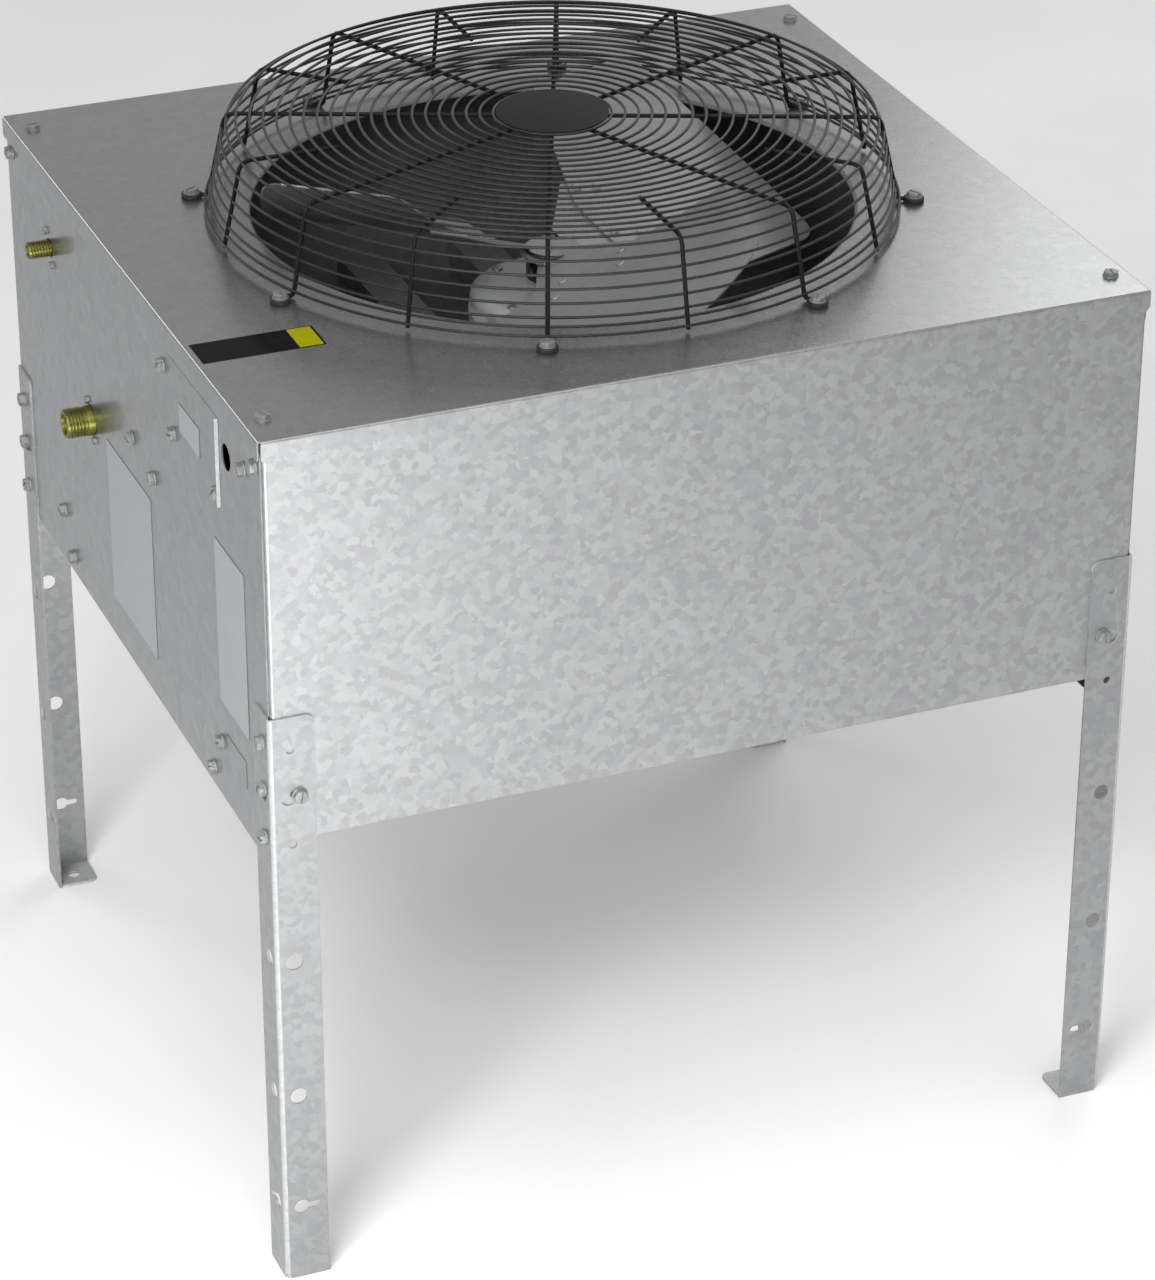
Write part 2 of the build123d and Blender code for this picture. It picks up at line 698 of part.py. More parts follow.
save("fan_motor", make_motor())
save("motor_rail_left", make_rail(-1))
save("motor_rail_right", make_rail(1))
for number in range(blade_count):
    save("fan_blade_" + str(number + 1), make_blade(number))
save("fan_spider", make_spider())
save("fan_shaft", make_shaft())
save("guard_top", make_guard_top())
save("guard_side", make_guard_side())
save("guard_washers", make_washers())
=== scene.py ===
from math import atan2, cos, hypot, pi, radians, sin, sqrt, tan, tau

import bmesh
import bpy
from mathutils import Matrix, Vector


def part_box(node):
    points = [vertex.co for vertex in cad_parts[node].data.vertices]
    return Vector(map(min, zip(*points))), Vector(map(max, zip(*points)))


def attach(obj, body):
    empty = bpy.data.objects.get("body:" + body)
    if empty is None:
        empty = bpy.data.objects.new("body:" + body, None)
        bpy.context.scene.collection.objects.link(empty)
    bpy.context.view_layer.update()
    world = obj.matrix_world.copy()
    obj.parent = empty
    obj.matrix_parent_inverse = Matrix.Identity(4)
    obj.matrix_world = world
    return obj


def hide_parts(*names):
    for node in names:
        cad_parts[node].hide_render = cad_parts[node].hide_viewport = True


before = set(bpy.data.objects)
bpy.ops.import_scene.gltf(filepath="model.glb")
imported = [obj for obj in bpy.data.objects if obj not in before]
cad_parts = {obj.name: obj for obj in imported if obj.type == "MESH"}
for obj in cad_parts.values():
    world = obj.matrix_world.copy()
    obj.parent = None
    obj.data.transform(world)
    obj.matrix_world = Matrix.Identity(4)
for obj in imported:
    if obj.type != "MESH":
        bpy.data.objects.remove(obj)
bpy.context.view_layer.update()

# Remote condenser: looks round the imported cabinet, coil, fan and guard. Metres, in the part's
# frame: +X to the right along the long front face, +Y to the back, +Z up, the fan's axis on Z.

mm = 0.001

# Places less than a hair apart are the same; vertices less than doubles apart are merged
hair = 0.001 * mm
doubles = 0.01 * mm

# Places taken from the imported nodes
half_width, half_depth, cover_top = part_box("top_cover")[1]
left_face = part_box("left_panel")[0].x
right_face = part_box("right_panel")[1].x
leg_face_x = -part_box("leg_front_left")[0].x
leg_face_y = -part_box("leg_front_left")[0].y
motor_boss = 4.0 * mm
motor_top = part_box("fan_motor")[1].z - motor_boss

# Top cover
cover_gauge = 1.2 * mm
cover_fold = 2.4 * mm
cover_lip = 18.0 * mm
lip_corner_gap = 1.6 * mm
lip_corner_chamfer = 3.0 * mm
fold_steps = 4
throat_radius = 255.0 * mm
throat_roll = 3.0 * mm
throat_rim = throat_radius + throat_roll
throat_sides = 144
roll_steps = 7

# Wire guard: heights above the cover, side rings as radius and height in millimetres
ring_wire = 2.5 * mm
spoke_wire = 3.9 * mm
wire_sides = 8
ring_sides = 120
inner_ring_sides = 60
inner_ring_radius = 100.0 * mm
top_ring_rise = 78.5 * mm
first_ring_radius = 49.8 * mm
top_ring_pitch = 11.3 * mm
top_ring_count = 20
side_rings = (
    (273.0, 73.8),
    (277.4, 64.0),
    (279.75, 53.0),
    (282.1, 42.0),
    (284.45, 31.0),
    (286.8, 20.0),
    (288.6, 13.0),
    (292.5, 6.5),
)
spoke_rise = 75.95 * mm
spoke_corner = 274.35 * mm
spoke_foot = 290.8 * mm
eye_rise = 2.6 * mm
spoke_start = 42.0 * mm
short_spoke_start = 190.0 * mm
shoulder_bend = 10.0 * mm
foot_bend = 5.0 * mm
spoke_count = 8
spoke_pitch = 360.0 / spoke_count
long_spoke_angle = 22.5
guard_screw_radius = 305.0 * mm
eye_wire_radius = 5.6 * mm
disc_radius = 47.5 * mm
disc_gauge = 1.5 * mm
disc_edge = 0.4 * mm
washer_radius = 8.8 * mm
washer_high = 4.4 * mm
washer_hole = 3.6 * mm
washer_edge = 0.9 * mm

# Screws with a slotted hexagon head on a flange
screw_across = 11.0 * mm
screw_height = 5.5 * mm
screw_chamfer = 1.0 * mm
screw_corner = 0.35 * mm
screw_slot = 1.7 * mm
slot_depth = 1.3 * mm
screw_flange = 6.8 * mm
flange_high = 1.1 * mm
flange_edge = 0.5 * mm
small_screw_scale = 0.55
low_head = 0.78

# Screw places: millimetres, mirrored to the other sides
cover_screw_x = half_width - 17.5 * mm
cover_screw_y = half_depth - 39.5 * mm
flange_screw_x = leg_face_x - 24.5 * mm
flange_screw_z = 463.0 * mm
leg_screw_y = half_depth - 17.5 * mm
leg_screw_rises = (421.0, 465.0, 507.0)
end_screws = ((337.0, 747.5), (225.0, 447.5), (201.6, 411.8))
access_screws = (
    (-308.0, 731.5),
    (-103.0, 731.0),
    (-240.0, 680.3),
    (-126.0, 680.2),
    (-3.0, 621.0),
    (-62.0, 610.7),
)

# Rivets and through bolts
rivet_radius = 4.4 * mm
rivet_high = 1.8 * mm
rivet_dome = 1.6 * mm
rivet_seat = 0.1 * mm
blade_rivets = ((69.0, 41.4), (86.3, -19.7), (88.0, 36.0), (66.0, -8.0))
motor_bolt_radius = 58.0 * mm
motor_bolt_angle = 123.0
motor_bolt_count = 4
motor_bolt_scale = 1.1

# Couplings: node, piece, line's node and piece, then y, z, thread radius, bore, reach, pitch,
# plain collar and line radius in millimetres
couplings = (
    ("discharge_coupling", "discharge_thread", "discharge_line", "discharge_tube")
    + (119.5, 583.0, 13.3, 9.2, 24.5, 2.9, 6.5, 7.9),
    ("liquid_coupling", "liquid_thread", "liquid_line", "liquid_tube")
    + (226.5, 700.5, 7.9, 4.8, 20.0, 2.6, 0.0, 4.8),
)
coupling_screws = ((119.5, 583.0, 9.3, 15.5), (226.5, 700.5, 7.2, 13.6))
thread_depth = 0.9 * mm
thread_sunk = 0.3 * mm
ridge_foot = 0.74
ridge_crest = 0.38
winding_steps = 40
line_bend = 30.0 * mm

# Coil
fin_pitch = 3.2 * mm
fin_gauge = 0.4 * mm
tube_rows = 12
tube_row_pitch = 50.0 * mm
tube_rise = 38.0 * mm
tube_radius = 4.8 * mm
tube_inset = 1.5 * mm

# Fan
blade_count = 3
blade_angle = 22.5
blade_drop = 44.5 * mm
blade_pitch = 28.4
blade_camber_radius = 380.0 * mm
blade_camber_offset = 30.0 * mm
hub_barrel = 23.0 * mm
hub_plate = cover_top - blade_drop - 4.0 * mm

# Legs: faces smaller than this are their cut edges and hole walls, in square metres
cut_face = 0.001
broken_edge = 0.4 * mm

# Thin sheets: name, y from and to, z from and to in millimetres
access_gauge = 0.35 * mm
access_fin_gauge = 0.8 * mm
label_gauge = 0.45 * mm
label_corner = 0.2 * mm
label_border = 0.15 * mm
film_corner = 0.4 * mm
labels = (
    ("label_small", -198.5, -146.0, 691.0, 716.5),
    ("label_middle", -51.0, 74.5, 435.5, 585.5),
    ("label_front", -301.0, -227.0, 488.5, 635.5),
    ("label_low", -290.0, -240.5, 438.0, 462.7),
)

# Studio: name, place, aim, side, watts and spread in degrees
lights = (
    ("key_front_left", (-1.8, -2.2, 2.2), (-0.75, -1.1, 0.0), 1.2, 20.5, 80.0),
    ("low_front_card", (-0.6, -1.9, 0.18), (-0.38, -0.36, 0.4), 0.5, 17.0, 180.0),
    ("back_right_panel", (2.84, 2.46, 2.98), (0.25, 0.0, 0.7), 2.4, 34.0, 180.0),
    ("back_left_strip", (-2.2, 3.4, 1.8), (-0.3, 0.0, 0.7), 1.2, 18.0, 180.0),
    ("overhead", (-0.5, -1.9, 4.2), (0.0, -0.6, 0.0), 4.0, 72.0, 180.0),
)
floor_side = 24.0
floor_drop = 0.5 * mm
lens = 127.27
camera_place = (-1.31121, -3.28850, 2.26582)
camera_heading = -22.097
camera_dip = 28.3915
camera_roll = 0.1523


# ---------------------------------------------------------------- materials


def linear(code):
    """An sRGB hex colour as linear red, green, blue and alpha."""
    parts = [int(code[i : i + 2], 16) / 255 for i in (0, 2, 4)]
    return [c / 12.92 if c <= 0.04045 else ((c + 0.055) / 1.055) ** 2.4 for c in parts] + [1.0]


def add(tree, kind, feeds=None, stops=(), **settings):
    """Adds one node: feeds gives its inputs a value or a link, stops its ramp's places and colours."""
    made = tree.nodes.new(kind)
    for key, value in settings.items():
        setattr(made, key, value)
    for key, value in (feeds or {}).items():
        if isinstance(value, bpy.types.NodeSocket):
            tree.links.new(value, made.inputs[key])
        else:
            made.inputs[key].default_value = value
    for index, (at, code) in enumerate(stops):
        points = made.color_ramp.elements
        point = points[index] if index < len(points) else points.new(at)
        point.position = at
        point.color = linear(code)
    return made


def blank_material(name, sockets=None):
    """A material with only its shader, whose sockets may be set, and Object coordinates."""
    material = bpy.data.materials.new(name)
    material.use_nodes = True
    tree = material.node_tree
    tree.nodes.clear()
    shader = add(tree, "ShaderNodeBsdfPrincipled", sockets)
    add(tree, "ShaderNodeOutputMaterial", {"Surface": shader.outputs["BSDF"]})
    place = add(tree, "ShaderNodeTexCoord").outputs["Object"]
    return material, tree, shader, place


def clouded(name, dark, light, per_metre, detail, rough, sockets=None, bump=0.0):
    """A finish whose tone, and shine if rough is a range, drifts between two values in clouds.

    per_metre counts the clouds along a metre, so 500 makes them 2 mm wide; one count for each axis
    draws them out into lines. With bump the same clouds stand up as a relief."""
    material, tree, shader, place = blank_material(name, sockets)
    spread = {"Vector": place, "Scale": per_metre, "Detail": detail}
    if isinstance(per_metre, tuple):
        drawn = add(tree, "ShaderNodeVectorMath", {0: place, 1: per_metre}, operation="MULTIPLY")
        spread.update({"Vector": drawn.outputs[0], "Scale": 1.0})
    cloud = add(tree, "ShaderNodeTexNoise", spread).outputs["Fac"]
    tone = add(tree, "ShaderNodeValToRGB", {"Fac": cloud}, [(0.3, dark), (0.7, light)])
    tree.links.new(tone.outputs["Color"], shader.inputs["Base Color"])
    if isinstance(rough, tuple):
        shade = {"Value": cloud, "To Min": rough[0], "To Max": rough[1]}
        tree.links.new(add(tree, "ShaderNodeMapRange", shade).outputs["Result"], shader.inputs["Roughness"])
    else:
        shader.inputs["Roughness"].default_value = rough
    if bump:
        relief = add(tree, "ShaderNodeBump", {"Height": cloud, "Strength": bump, "Distance": 0.2 * mm})
        tree.links.new(relief.outputs["Normal"], shader.inputs["Normal"])
    return material


def spangled_zinc(name, tones, crystal, rough, spread, metal=1.0, streak=0.0, sheen=0.0, relief=0.02):
    """Hot-dip galvanised sheet: zinc crystals, each a little lighter or duller than the next.

    The crystals are so many millimetres across, with 1.1 mm specks and 110 mm clouds over them.
    Streak adds upright drawing lines 2.4 mm apart, sheen a thin clear passivation and relief a
    fine unevenness."""
    sockets = {"Metallic": metal, "Coat Weight": sheen, "Coat Roughness": 0.08}
    material, tree, shader, place = blank_material(name, sockets)
    scale = 1000.0 / crystal
    wander = {"Vector": place, "Scale": scale * 0.9, "Detail": 3.0, "Roughness": 0.6}
    wobble = add(tree, "ShaderNodeTexNoise", wander).outputs["Color"]
    centred = add(tree, "ShaderNodeVectorMath", {0: wobble, 1: (0.5, 0.5, 0.5)}, operation="SUBTRACT")
    reach = {0: centred.outputs[0], "Scale": 1.4 / scale}
    pushed = add(tree, "ShaderNodeVectorMath", reach, operation="SCALE").outputs[0]
    moved = add(tree, "ShaderNodeVectorMath", {0: place, 1: pushed}, operation="ADD").outputs[0]
    crystals = add(tree, "ShaderNodeTexVoronoi", {"Vector": moved, "Scale": scale, "Randomness": 1.0})
    tone = add(tree, "ShaderNodeSeparateColor", {"Color": crystals.outputs["Color"]})
    fine = add(tree, "ShaderNodeTexNoise", {"Vector": place, "Scale": 900.0, "Detail": 2.0}).outputs["Fac"]
    broad = add(tree, "ShaderNodeTexNoise", {"Vector": place, "Scale": 9.0, "Detail": 3.0}).outputs["Fac"]
    last = add(tree, "ShaderNodeMath", {0: tone.outputs[0], 1: 0.72}, operation="MULTIPLY").outputs[0]
    layers = [(fine, 0.16), (broad, 0.14)]
    if streak:
        drawn = add(tree, "ShaderNodeVectorMath", {0: place, 1: (420.0, 420.0, 9.0)}, operation="MULTIPLY")
        lines = add(tree, "ShaderNodeTexNoise", {"Vector": drawn.outputs[0], "Scale": 1.0, "Detail": 3.0})
        middle = add(tree, "ShaderNodeMath", {0: lines.outputs["Fac"], 1: 0.5}, operation="SUBTRACT")
        layers.append((middle.outputs[0], streak))
    for layer, weight in layers:
        last = add(tree, "ShaderNodeMath", {0: layer, 1: weight, 2: last}, operation="MULTIPLY_ADD").outputs[0]
    colour = add(tree, "ShaderNodeValToRGB", {"Fac": last}, list(zip((0.1, 0.5, 0.92), tones)))
    tree.links.new(colour.outputs["Color"], shader.inputs["Base Color"])
    shade = {"Value": tone.outputs[1], "To Min": rough - spread, "To Max": rough + spread}
    tree.links.new(add(tree, "ShaderNodeMapRange", shade).outputs["Result"], shader.inputs["Roughness"])
    if relief:
        tilt = add(tree, "ShaderNodeBump", {"Height": fine, "Strength": relief, "Distance": 0.1 * mm})
        tree.links.new(tilt.outputs["Normal"], shader.inputs["Normal"])
    return material


def cover_zinc():
    """Galvanised steel of the cover, rolled smooth: darker and glossier, with soft crystals."""
    tones = ("9D9E9E", "A0A1A1", "A4A5A5")
    return spangled_zinc("galvanised_steel_cover", tones, 8.0, 0.27, 0.008, metal=0.88, relief=0.0)


def panel_zinc():
    """Galvanised steel of the long panels: blunt crystals with little contrast."""
    return spangled_zinc("galvanised_steel_panel", ("9B9C9D", "A4A5A6", "AEAFB0"), 6.5, 0.42, 0.03)


def shaded_end_zinc():
    """Galvanised steel of the end panels: drawn smoother, with fine upright lines, and darker than the long
    panels as painted shade of the end sides.
    """
    # darker tones than the long panels: painted shade of the end sides
    tones = ("818385", "86888A", "8C8E90")
    return spangled_zinc("galvanised_steel_drawn_shaded", tones, 10.0, 0.4, 0.02, streak=0.5, sheen=0.4)


def leg_zinc():
    """Thicker galvanised strip of the legs: the same blunt crystals as on the long panels."""
    return spangled_zinc("galvanised_steel_leg", ("98999A", "9FA0A1", "A7A8A9"), 6.5, 0.42, 0.03)


def shaded_inner_zinc():
    """Galvanised sheet inside the cabinet, darker and duller as painted shade, which hides most of its metal
    shine.
    """
    # darker tones and little metal: painted shade inside the cabinet
    return spangled_zinc("galvanised_steel_inside_shaded", ("707070", "767676", "7C7C7C"), 12.0, 0.65, 0.05, metal=0.2)


def cut_zinc_highlight():
    """Sheared edges and punched hole walls: pale steel that scatters its shine; the pale tone is partly painted
    highlight along the edges.
    """
    # pale tones: partly painted highlight on cut edges and on the access fin's front
    tones = ("A6A7A8", "AEAFB0", "B6B7B8")
    return spangled_zinc("galvanised_steel_cut_highlight", tones, 3.0, 0.5, 0.03, metal=0.35, relief=0.1)


def guard_paint():
    """Black powder paint on steel wire: satin, with a 1.4 mm orange peel that breaks up its shine."""
    sockets = {"IOR": 1.5, "Specular IOR Level": 0.35}
    return clouded("black_powder_paint", "232323", "2C2C2C", 700.0, 2.0, 0.42, sockets, bump=0.15)


def shaded_spoke_paint():
    """The same black paint on the spokes, darker than on the rings as painted shade under them, and duller, with
    a 1.7 mm peel.
    """
    sockets = {"Specular IOR Level": 0.2}
    # darker tones than the rings: painted shade of the rings over the spokes
    return clouded("black_powder_paint_spokes_shaded", "0E0E0E", "161616", 600.0, 2.0, 0.5, sockets, bump=0.15)


def disc_paint():
    """The same black paint on the flat centre disc, which catches more light, with a 2 mm peel."""
    sockets = {"Specular IOR Level": 0.1}
    return clouded("black_powder_paint_disc", "202020", "292929", 500.0, 3.0, 0.6, sockets, bump=0.2)


def washer_rubber():
    """Black moulded rubber: matt, with a 1.1 mm grain, coarser than the real one so that it shows."""
    return clouded("moulded_rubber", "1C1C1C", "262626", 900.0, 2.0, 0.6, bump=0.3)


def fan_aluminium():
    """Stamped aluminium: soft grey, faint 2.5 mm rolling lines and a shine in 40 mm clouds."""
    sockets = {"Metallic": 0.65, "Specular IOR Level": 0.3}
    material, tree, shader, place = blank_material("stamped_aluminium", sockets)
    drawn = add(tree, "ShaderNodeVectorMath", {0: place, 1: (30.0, 400.0, 30.0)}, operation="MULTIPLY")
    rolled = {"Vector": drawn.outputs[0], "Scale": 1.0, "Detail": 2.0}
    lines = add(tree, "ShaderNodeTexNoise", rolled).outputs["Fac"]
    tone = add(tree, "ShaderNodeValToRGB", {"Fac": lines}, [(0.3, "A2A4A5"), (0.7, "ABACAD")])
    tree.links.new(tone.outputs["Color"], shader.inputs["Base Color"])
    cloud = add(tree, "ShaderNodeTexNoise", {"Vector": place, "Scale": 25.0, "Detail": 3.0})
    shade = {"Value": cloud.outputs["Fac"], "To Min": 0.46, "To Max": 0.54}
    tree.links.new(add(tree, "ShaderNodeMapRange", shade).outputs["Result"], shader.inputs["Roughness"])
    return material


def hub_steel():
    """Dark phosphated steel of the hub's barrel, in 8 mm clouds."""
    return clouded("phosphated_steel", "3A3A3A", "505050", 120.0, 4.0, 0.45, {"Metallic": 0.8})


def turned_steel():
    """Bright turned steel of the shaft, with rings 0.4 mm apart round it."""
    return clouded("turned_steel", "8E8F90", "A5A6A7", (20.0, 20.0, 2500.0), 2.0, 0.3, {"Metallic": 1.0})


def plated_screw():
    """Zinc-plated steel of the screws: grey, with a dull plating in 2.2 mm clouds."""
    return clouded("zinc_plated_steel", "838584", "919392", 450.0, 3.0, (0.42, 0.52), {"Metallic": 0.5})


def motor_enamel():
    """Light grey enamel on the motor's shell: satin, in 25 mm clouds, with a 1.7 mm peel."""
    sockets = {"Roughness": 0.35, "Coat Weight": 0.2}
    material, tree, shader, place = blank_material("light_grey_enamel", sockets)
    cloud = add(tree, "ShaderNodeTexNoise", {"Vector": place, "Scale": 40.0, "Detail": 4.0}).outputs["Fac"]
    tone = add(tree, "ShaderNodeValToRGB", {"Fac": cloud}, [(0.3, "AEAFB0"), (0.7, "B6B8B9")])
    tree.links.new(tone.outputs["Color"], shader.inputs["Base Color"])
    peel = add(tree, "ShaderNodeTexNoise", {"Vector": place, "Scale": 600.0, "Detail": 1.0}).outputs["Fac"]
    relief = add(tree, "ShaderNodeBump", {"Height": peel, "Strength": 0.12, "Distance": 0.2 * mm})
    tree.links.new(relief.outputs["Normal"], shader.inputs["Normal"])
    return material


def coupling_brass():
    """Turned free-cutting brass, greenish yellow, with tool rings 0.45 mm apart round its axis."""
    return clouded("turned_brass", "6C6B34", "7A7940", (2200.0, 60.0, 60.0), 2.0, (0.36, 0.46), {"Metallic": 1.0})


def line_copper():
    """Drawn copper tube, browned by heat in 17 mm clouds."""
    return clouded("drawn_copper", "8A4B32", "C07A55", 60.0, 4.0, 0.35, {"Metallic": 1.0})


def fin_aluminium():
    """Thin plain aluminium fins, pale and dulled in 33 mm clouds."""
    return clouded("fin_aluminium", "929394", "A2A3A4", 30.0, 4.0, 0.5, {"Metallic": 0.5})


def label_film():
    """Blank polyester label film: pale silver grey, satin, in faint 14 mm clouds."""
    return clouded("label_film", "909294", "96989A", 70.0, 4.0, (0.4, 0.5))


def label_edge_shadow():
    """The dark rim round a label's film: painted shadow along its edge, in 3.3 mm clouds."""
    # dark tones: painted shadow along the label's rim
    return clouded("label_edge_shadow", "5A5B5C", "6E6F70", 300.0, 2.0, 0.6)


def black_film():
    """Black vinyl film with a soft gloss in 11 mm clouds."""
    sockets = {"Specular IOR Level": 0.04}
    return clouded("black_vinyl_film", "0F0F0F", "141414", 90.0, 3.0, (0.1, 0.16), sockets)


def yellow_film():
    """Plain yellow vinyl block on the black film, in 11 mm clouds."""
    return clouded("yellow_vinyl_film", "929200", "9A9A00", 90.0, 3.0, 0.45, {"Specular IOR Level": 0.05})


def floor_paint():
    """Pale matt paint of the studio floor, in barely seen clouds a third of a metre wide."""
    return clouded("pale_floor_paint", "F0F0F0", "F4F4F4", 3.0, 2.0, 0.9)


zinc_cover = cover_zinc()
zinc_panel = panel_zinc()
zinc_end_shaded = shaded_end_zinc()
zinc_leg = leg_zinc()
zinc_inner_shaded = shaded_inner_zinc()
zinc_cut_highlight = cut_zinc_highlight()
paint_rings = guard_paint()
paint_spokes_shaded = shaded_spoke_paint()
paint_disc = disc_paint()
rubber_black = washer_rubber()
aluminium_fan = fan_aluminium()
aluminium_fins = fin_aluminium()
steel_hub = hub_steel()
steel_shaft = turned_steel()
zinc_screw = plated_screw()
enamel_motor = motor_enamel()
brass = coupling_brass()
copper = line_copper()
film_label = label_film()
film_edge_shadow = label_edge_shadow()
film_black = black_film()
film_yellow = yellow_film()


# ---------------------------------------------------------------- modelling steps


def leave_edit():
    """Back to object mode."""
    bpy.ops.object.mode_set(mode="OBJECT")


def clear_selection():
    """Leaves edit mode with nothing selected, so that the next operator acts on one piece."""
    if bpy.context.object and bpy.context.object.mode != "OBJECT":
        leave_edit()
    bpy.ops.object.select_all(action="DESELECT")


def take(piece):
    """Makes a piece the only one selected."""
    clear_selection()
    bpy.context.view_layer.objects.active = piece
    piece.select_set(True)
    return piece


def apply_place():
    """Puts the active piece's place, turn and scale into its mesh."""
    bpy.ops.object.transform_apply(location=True, rotation=True, scale=True)


def begin(primitive, scale=(1.0, 1.0, 1.0), **settings):
    """A primitive at its size and place, with nothing else selected, to be shaped further."""
    clear_selection()
    primitive(**settings)
    piece = bpy.context.object
    piece.scale = scale
    apply_place()
    return piece


def begin_block(low, high):
    """A block between two corners."""
    middle = [(a + b) / 2 for a, b in zip(low, high)]
    spans = [b - a for a, b in zip(low, high)]
    return begin(bpy.ops.mesh.primitive_cube_add, spans, size=1.0, location=middle)


def begin_bar(x0, x1, y, z, radius, sides):
    """A round bar along X."""
    shape = {"vertices": sides, "radius": radius, "depth": x1 - x0}
    at = ((x0 + x1) / 2, y, z)
    return begin(bpy.ops.mesh.primitive_cylinder_add, location=at, rotation=(0, pi / 2, 0), **shape)


def begin_boss(x, z, radius, high, sides):
    """A round boss that stands on a height, with its axis upright."""
    shape = {"vertices": sides, "radius": radius, "depth": high}
    return begin(bpy.ops.mesh.primitive_cylinder_add, location=(x, 0, z + high / 2), **shape)


def begin_wire(at, wire, sides, along_x):
    """The round section of a wire or tube that runs along X, or else along Y."""
    turn = (0, pi / 2, 0) if along_x else (pi / 2, 0, 0)
    return begin(bpy.ops.mesh.primitive_circle_add, vertices=sides, radius=wire, location=at, rotation=turn)


def edit():
    """Edit mode with everything selected."""
    bpy.ops.object.mode_set(mode="EDIT")
    bpy.ops.mesh.select_all(action="SELECT")


def pick(kind, test):
    """In edit mode, selects the elements whose middle, and the element, pass the test."""
    bpy.ops.mesh.select_mode(type=kind)
    bpy.ops.mesh.select_all(action="DESELECT")
    shape = bmesh.from_edit_mesh(bpy.context.object.data)
    elements = {"VERT": shape.verts, "EDGE": shape.edges, "FACE": shape.faces}[kind]
    for element in elements:
        corners = [element.co] if kind == "VERT" else [v.co for v in element.verts]
        if test(sum(corners, Vector()) / len(corners), element):
            element.select_set(True)
    shape.select_flush_mode()
    bmesh.update_edit_mesh(bpy.context.object.data)


def at_cap(edge):
    """Whether an edge bounds a many-sided end face."""
    return any(len(face.verts) > 4 for face in edge.link_faces)


def push(x=0.0, y=0.0, z=0.0):
    """Extrudes what is selected along a straight run."""
    bpy.ops.mesh.extrude_region_move(TRANSFORM_OT_translate={"value": (x, y, z)})


def bend(centre, angle, axis, steps):
    """Spins what is selected about an axis; with no window the operator turns left-handed."""
    bpy.ops.mesh.spin(steps=steps, angle=-angle, center=centre, axis=axis)


def stretch(x, y, z):
    """Scales what is selected about the origin."""
    bpy.ops.transform.resize(value=(x, y, z), center_override=(0, 0, 0))


def round_off(piece, test, width, steps):
    """Rounds or chamfers the edges of a piece that pass the test."""
    take(piece)
    edit()
    pick("EDGE", test)
    bpy.ops.mesh.bevel(offset=width, segments=steps)
    leave_edit()
    return piece


def face_outwards():
    """In edit mode, turns every face outwards."""
    bpy.ops.mesh.select_all(action="SELECT")
    bpy.ops.mesh.normals_make_consistent(inside=False)


def close_up():
    """Merges doubles, closes open ends, turns every face outwards and leaves edit mode."""
    bpy.ops.mesh.select_mode(type="VERT")
    bpy.ops.mesh.select_all(action="SELECT")
    bpy.ops.mesh.remove_doubles(threshold=doubles)
    bpy.ops.mesh.select_all(action="SELECT")
    bpy.ops.mesh.fill_holes(sides=0)
    face_outwards()
    leave_edit()


def modify(piece, kind, **settings):
    """Adds a modifier and applies it."""
    take(piece)
    modifier = piece.modifiers.new(kind.lower(), kind)
    for key, value in settings.items():
        setattr(modifier, key, value)
    bpy.ops.object.modifier_apply(modifier=modifier.name)
    return piece


def cut(piece, tool, operation="DIFFERENCE"):
    """Cuts a piece with another one, or welds them, and removes the tool."""
    modify(piece, "BOOLEAN", object=tool, operation=operation, solver="EXACT")
    bpy.data.objects.remove(tool)
    return piece


def copy_of(piece, place):
    """A copy of a piece with its own mesh, moved by a matrix."""
    mesh = piece.data.copy()
    mesh.transform(place)
    made = bpy.data.objects.new(piece.name, mesh)
    bpy.context.scene.collection.objects.link(made)
    return made


def copies_of(piece, places):
    """Copies of a piece by several matrices, joined into one; the model is removed."""
    made = [copy_of(piece, place) for place in places]
    bpy.data.objects.remove(piece)
    return joined(made)


def joined(pieces):
    """Several pieces as one."""
    take(pieces[0])
    for piece in pieces[1:]:
        piece.select_set(True)
    bpy.ops.object.join()
    return bpy.context.object


def settle(piece, name, material, body="cabinet", hides=(), angle=32.0, flats=False):
    """Names a finished piece, gives it its material and shading and ties it to the frame."""
    take(piece)
    piece.name = name
    piece.data.name = name
    apply_place()
    bpy.ops.object.shade_smooth_by_angle(angle=radians(angle))
    if flats:
        modify(piece, "WEIGHTED_NORMAL", weight=100, keep_sharp=True)
    piece.data.materials.clear()
    piece.data.materials.append(material)
    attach(piece, body)
    if hides:
        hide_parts(*hides)
    return piece


def smooth_node(node, name, material, body="cabinet", angle=30.0, broken=0.0):
    """A merged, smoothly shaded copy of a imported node, which it replaces."""
    piece = bpy.data.objects.new(name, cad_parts[node].data.copy())
    bpy.context.scene.collection.objects.link(piece)
    take(piece)
    edit()
    bpy.ops.mesh.remove_doubles(threshold=doubles)
    bpy.ops.mesh.dissolve_limited(angle_limit=radians(0.3))
    leave_edit()
    if broken:
        modify(piece, "BEVEL", width=broken, segments=3, limit_method="ANGLE", angle_limit=radians(60))
    return settle(piece, name, material, body, (node,), angle, flats=True)


def paint_part(piece, material, test):
    """Gives the faces that pass the test a further finish."""
    take(piece)
    piece.data.materials.append(material)
    edit()
    pick("FACE", test)
    piece.active_material_index = len(piece.data.materials) - 1
    bpy.ops.object.material_slot_assign()
    leave_edit()


def looks_inside(at, face):
    """Whether a wall's face looks into the cabinet."""
    return face.normal.x * at.x + face.normal.y * at.y < -0.2 * hypot(at.x, at.y)


def about_axis(angle):
    """The matrix that turns a piece about the fan's axis."""
    return Matrix.Rotation(radians(angle), 4, "Z")


# ---------------------------------------------------------------- wire guard


